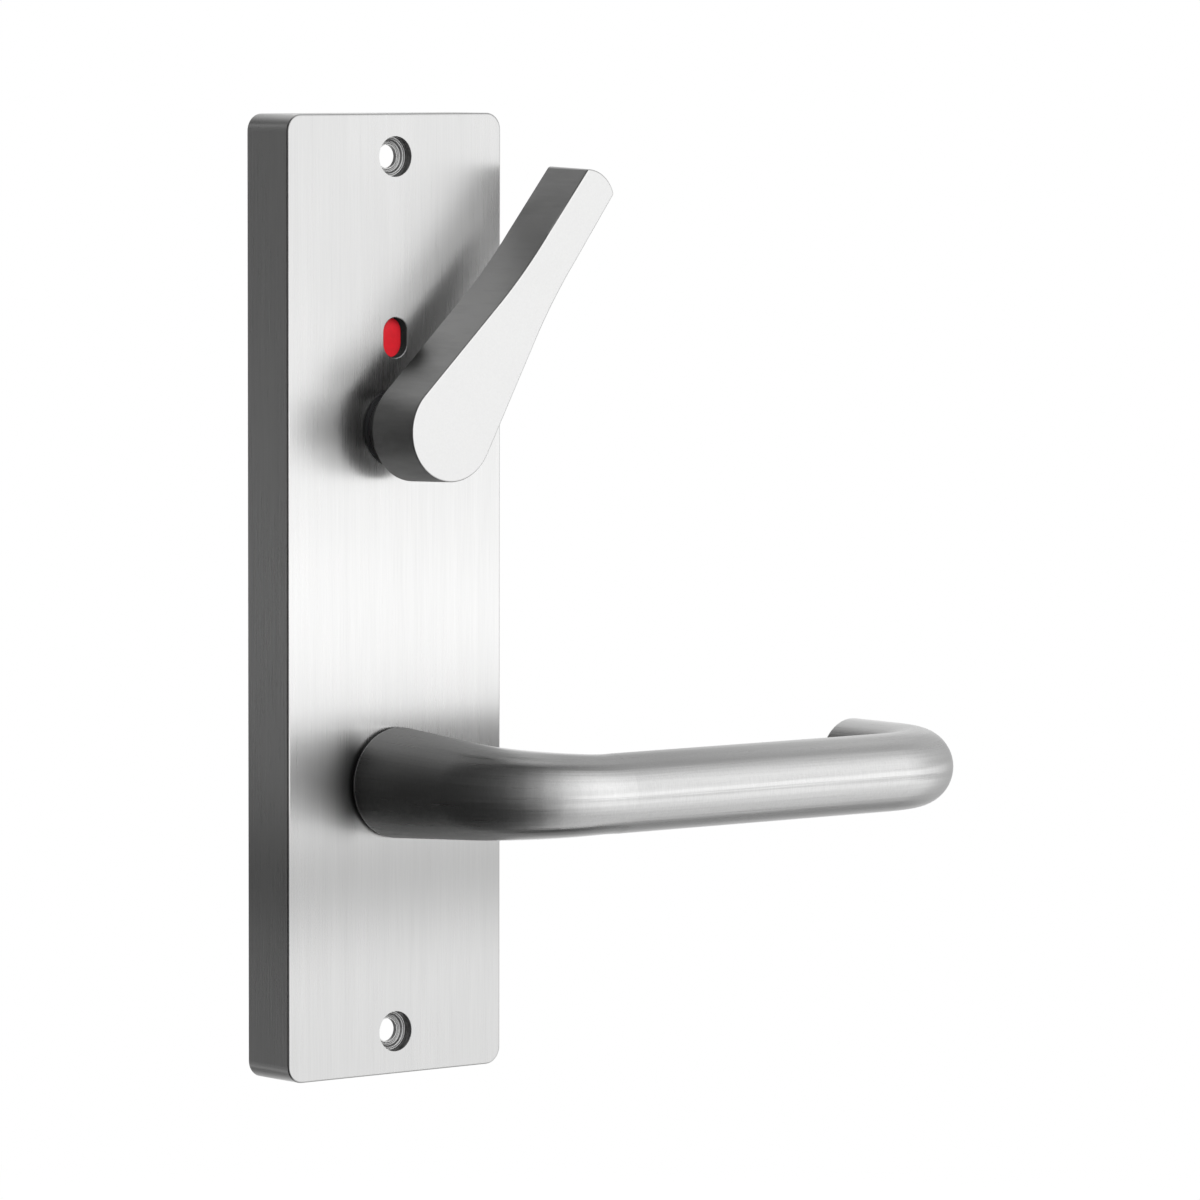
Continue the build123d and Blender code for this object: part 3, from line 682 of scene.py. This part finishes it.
# The red mark on its flag, as it shows through the window, and the dark ground round it, painted
# shade where the window's walls shade the flag; steel mirrors the mark as a painted dark reflection
MARK_HALF_WIDTH = 3.7 * MM
MARK_HALF_HEIGHT = 4.55 * MM
MARK_CORNER = 2.5 * MM
MARK_SOFTNESS = 0.22 * MM
MARK_SHADE_GROUND = (0.06, 0.004, 0.006, 1.0)
MIRRORED_MARK = (0.05, 0.05, 0.05, 1.0)


def plain(slot):
    """Material with grain of one size in its colour, roughness and bump."""
    colour, metallic, rough_low, rough_high, feature, strength = PLAIN[slot]
    graph, inputs = material(slot, colour, metallic, rough_low)
    grain = graph.streaks(object_place(graph), feature, feature, "X", *PLAIN_NOISE)
    painted = graph.scale(colour, graph.vary(grain, *PLAIN_LEVEL))
    graph.feed(inputs["Base Color"], painted)
    graph.feed(inputs["Roughness"], graph.vary(grain, rough_low, rough_high))
    bump(graph, inputs, grain, strength, PLAIN_BUMP_DEPTH)
    return graph, inputs, painted


def red_paint():
    """Mark with round corners on a ground of painted shade. Steel mirrors it as a painted dark
    reflection.
    """
    graph, inputs, painted = plain("red_paint")
    x, y, z = graph.separate(object_place(graph))
    aside = graph.math("ABSOLUTE", x)
    above = graph.math("ABSOLUTE", graph.math("SUBTRACT", z, WINDOW_Z))
    past_side = graph.math("SUBTRACT", aside, MARK_HALF_WIDTH - MARK_CORNER)
    past_top = graph.math("SUBTRACT", above, MARK_HALF_HEIGHT - MARK_CORNER)
    past_corner = graph.combine(
        graph.math("MAXIMUM", past_side, 0.0),
        graph.math("MAXIMUM", past_top, 0.0),
        0.0,
    )
    run = graph.vector("LENGTH", past_corner)
    outside = graph.soft_step(run, MARK_CORNER - MARK_SOFTNESS, MARK_CORNER + MARK_SOFTNESS)
    marked = graph.blend_colour(outside, painted, MARK_SHADE_GROUND)
    shown = graph.blend_colour(graph.rays("Is Glossy Ray"), marked, MIRRORED_MARK)
    graph.feed(inputs["Base Color"], shown)


def make_materials():
    plate_steel()
    lever_steel()
    turn_steel()
    red_paint()
    for slot in PLAIN:
        if slot != "red_paint":
            plain(slot)


# Return spring: round wire on the CAD spring's own path, wound between the plate and the lever


COIL_START_ANGLE = COIL_END_ANGLE - COIL_TURNS * 2 * math.pi


def coil_point(angle):
    """Point on the coil, with the angle clockwise from straight up as seen from the front."""
    x = COIL_RADIUS * math.sin(angle)
    y = -COIL_FRONT_DEPTH + (angle - COIL_START_ANGLE) / (2 * math.pi) * COIL_PITCH
    z = LEVER_AXIS.z + COIL_RADIUS * math.cos(angle)
    return Vector((x, y, z))


def coil_heading(angle):
    step = 0.001
    return (coil_point(angle + step) - coil_point(angle - step)).normalized()


def bend(start, first_way, second_way):
    """Points round a bend of the wire that leaves `start` along first_way, towards second_way."""
    side = (second_way - first_way * second_way.dot(first_way)).normalized()
    turn = first_way.angle(second_way)
    centre = start + side * SPRING_BEND
    points = []
    for step in range(1, BEND_STEPS + 1):
        angle = turn * step / BEND_STEPS
        outward = first_way * math.sin(angle) - side * math.cos(angle)
        points.append(centre + outward * SPRING_BEND)
    return points


def spring_points():
    """Centre line of the wire from the tip of its fixed leg to the end of its drive leg."""
    start = coil_point(COIL_START_ANGLE)
    outward = (start - Vector((0.0, start.y, LEVER_AXIS.z))).normalized()
    front_bend = bend(start, -coil_heading(COIL_START_ANGLE), outward)
    anchor_tip = front_bend[-1] + outward * ANCHOR_LEG
    points = [anchor_tip] + front_bend[::-1]
    steps = int(COIL_TURNS * TURN_STEPS)
    sweep = COIL_END_ANGLE - COIL_START_ANGLE
    for step in range(steps + 1):
        points.append(coil_point(COIL_START_ANGLE + sweep * step / steps))
    rear_bend = bend(points[-1], coil_heading(COIL_END_ANGLE), Vector((0.0, 1.0, 0.0)))
    end = rear_bend[-1].copy()
    end.y = -DRIVE_LEG_END
    return points + rear_bend + [end]


def wire(name, points, radius):
    """Round wire along the points, its cut ends slightly chamfered."""
    lead = WIRE_CHAMFER * radius
    headings = []
    for index in range(len(points)):
        before = points[max(index - 1, 0)]
        after = points[min(index + 1, len(points) - 1)]
        headings.append((after - before).normalized())
    first, last = headings[0], headings[-1]
    stations = [(points[0], first, radius - lead), (points[0] + first * lead, first, radius)]
    for point, heading in zip(points[1:-1], headings[1:-1]):
        stations.append((point, heading, radius))
    stations += [(points[-1] - last * lead, last, radius), (points[-1], last, radius - lead)]

    made = bmesh.new()
    side = stations[0][1].orthogonal().normalized()
    rings = []
    for place, heading, size in stations:
        side = (side - heading * side.dot(heading)).normalized()
        other = heading.cross(side)
        ring = []
        for step in range(WIRE_SIDES):
            angle = 2 * math.pi * step / WIRE_SIDES
            outward = side * math.cos(angle) + other * math.sin(angle)
            ring.append(made.verts.new(place + outward * size))
        rings.append(ring)
    for lower, upper in zip(rings, rings[1:]):
        for step in range(WIRE_SIDES):
            after = (step + 1) % WIRE_SIDES
            face = made.faces.new((lower[step], lower[after], upper[after], upper[step]))
            face.smooth = True
    made.faces.new(rings[0][::-1])
    made.faces.new(rings[-1])
    mesh = bpy.data.meshes.new(name)
    made.to_mesh(mesh)
    made.free()
    piece = bpy.data.objects.new(name, mesh)
    bpy.context.scene.collection.objects.link(piece)
    return piece


def make_spring():
    spring = wire("spring_wire", spring_points(), WIRE_RADIUS)
    spring.data.materials.append(SLOTS["spring_steel"])
    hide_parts("return_spring")
    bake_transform(spring)


# Studio: soft bright panels in a dark room, which stays open on the left

ROOM_LEVEL = 0.021
# Azimuth from the front round to the right, elevation, half width, half height and softness of
# the edge, all in degrees, and radiance
PANELS = {
    "large front light": (14.9, 24.2, 40.8, 37.7, 40.0, 1.37),
    "bright strip at eye height": (36.0, -2.2, 54.0, 6.3, 2.0, 0.44),
    "pale room on the right": (131.5, 31.6, 56.7, 83.7, 29.4, 0.49),
    "white wall behind": (169.3, -2.0, 42.2, 26.0, 3.0, 0.381),
    "pale table in front": (28.0, -54.0, 52.0, 41.0, 3.0, 0.65),
}
# The part of the white background that metal mirrors too, straight behind the object
BACKDROP = (141, 0, 8, 8, 4, 1.0)
WHITE = (1.0, 1.0, 1.0, 1.0)


def panel(graph, azimuth, elevation, spec):
    """Radiance of one soft-edged panel in the direction that is looked in."""
    middle, height, half_width, half_height, softness, radiance = spec
    aside = graph.math("SUBTRACT", azimuth, math.radians(middle))
    aside = graph.math("ABSOLUTE", graph.math("WRAP", aside, math.pi, -math.pi))
    above = graph.math("ABSOLUTE", graph.math("SUBTRACT", elevation, math.radians(height)))

    def within(distance, half):
        outer = math.radians(half + softness)
        return graph.soft_step(distance, outer, math.radians(half - softness))

    return graph.product(within(aside, half_width), within(above, half_height), radiance)


def pick(graph, factor, chosen, other):
    """The chosen shader where the factor is 1, and the other shader where it is 0."""
    mix = graph.add("ShaderNodeMixShader", {0: factor})
    graph.tree.links.new(other, mix.inputs[1])
    graph.tree.links.new(chosen, mix.inputs[2])
    return mix.outputs[0]


def make_world():
    world = bpy.data.worlds.new("studio")
    bpy.context.scene.world = world
    world.use_nodes = True
    world.node_tree.nodes.clear()
    graph = Graph(world.node_tree)
    x, y, z = graph.separate(graph.add("ShaderNodeTexCoord").outputs["Generated"])
    azimuth = graph.math("ARCTAN2", x, graph.math("MULTIPLY", y, -1.0))
    elevation = graph.math("ARCSINE", z)
    level = ROOM_LEVEL
    for spec in PANELS.values():
        level = graph.math("ADD", level, panel(graph, azimuth, elevation, spec))
    backdrop = panel(graph, azimuth, elevation, BACKDROP)
    mirrored = graph.math("MULTIPLY", graph.rays("Is Glossy Ray", "Is Transmission Ray"), backdrop)
    white = graph.math("MAXIMUM", graph.rays("Is Camera Ray"), mirrored)
    lit = graph.add("ShaderNodeBackground", {"Color": WHITE, "Strength": level}).outputs[0]
    seen = graph.add("ShaderNodeBackground", {"Color": WHITE, "Strength": 1.0}).outputs[0]
    out = graph.add("ShaderNodeOutputWorld")
    graph.tree.links.new(pick(graph, white, seen, lit), out.inputs["Surface"])


# The floor is nearly as white as the background, keeps the object's shadow and fades into the
# background a little way off. Metal, and a camera below it, see the studio through it.
FLOOR_Z = -0.40
FLOOR_SIZE = 8.0
FLOOR_COLOUR = (0.85, 0.85, 0.85, 1.0)
FLOOR_LIFT = 0.78
FLOOR_FADE = (0.8, 1.8)


def make_floor():
    made = bpy.data.materials.new("floor")
    made.use_nodes = True
    made.node_tree.nodes.clear()
    graph = Graph(made.node_tree)
    x, y, z = graph.separate(object_place(graph))
    far = graph.soft_step(graph.vector("LENGTH", graph.combine(x, y, 0.0)), *FLOOR_FADE)
    lit = graph.add("ShaderNodeBsdfDiffuse", {"Color": FLOOR_COLOUR}).outputs[0]
    glow = graph.add("ShaderNodeEmission", {"Color": WHITE, "Strength": FLOOR_LIFT}).outputs[0]
    white = graph.add("ShaderNodeEmission", {"Color": WHITE, "Strength": 1.0}).outputs[0]
    near = graph.add("ShaderNodeAddShader", {0: lit, 1: glow}).outputs[0]
    seen = pick(graph, far, white, near)
    clear = graph.add("ShaderNodeBsdfTransparent", {"Color": WHITE}).outputs[0]
    surface = pick(graph, graph.rays("Is Camera Ray"), seen, lit)
    surface = pick(graph, graph.rays("Is Glossy Ray", "Is Transmission Ray"), clear, surface)
    underside = graph.add("ShaderNodeNewGeometry").outputs["Backfacing"]
    from_below = graph.product(graph.rays("Is Camera Ray"), underside)
    surface = pick(graph, from_below, clear, surface)
    out = graph.add("ShaderNodeOutputMaterial")
    graph.tree.links.new(surface, out.inputs["Surface"])
    mesh = bpy.data.meshes.new("floor")
    half = FLOOR_SIZE / 2
    around = ((-half, -half), (half, -half), (half, half), (-half, half))
    mesh.from_pydata([(x, y, FLOOR_Z) for x, y in around], [], [(0, 1, 2, 3)])
    mesh.materials.append(made)
    floor = bpy.data.objects.new("floor", mesh)
    bpy.context.scene.collection.objects.link(floor)


# Lamps for paint and plastic, which the metal doesn't mirror: place, width, height and radiance
LAMPS = {
    "front": ((-0.6, -2.4, 0.9), 1.6, 1.6, 3.4),
    "top": ((0.5, -0.3, 2.2), 1.5, 1.5, 1.2),
}
# Power of a lamp for each unit of its radiance and each square metre
LAMP_POWER = 4.0


def make_lamp(name, place, width, height, radiance):
    """Soft lamp aimed at the object."""
    data = bpy.data.lights.new(name, "AREA")
    data.shape = "RECTANGLE"
    data.size = width
    data.size_y = height
    data.energy = LAMP_POWER * radiance * width * height
    lamp = bpy.data.objects.new(name, data)
    bpy.context.scene.collection.objects.link(lamp)
    lamp.location = place
    lamp.rotation_mode = "QUATERNION"
    lamp.rotation_quaternion = (-Vector(place)).to_track_quat("-Z", "Y")
    lamp.visible_camera = False
    lamp.visible_glossy = False


def make_lights():
    for name, spec in LAMPS.items():
        make_lamp(name, *spec)


make_camera()
make_materials()
make_spring()
make_world()
make_floor()
make_lights()

bpy.context.scene.view_settings.view_transform = "Standard"
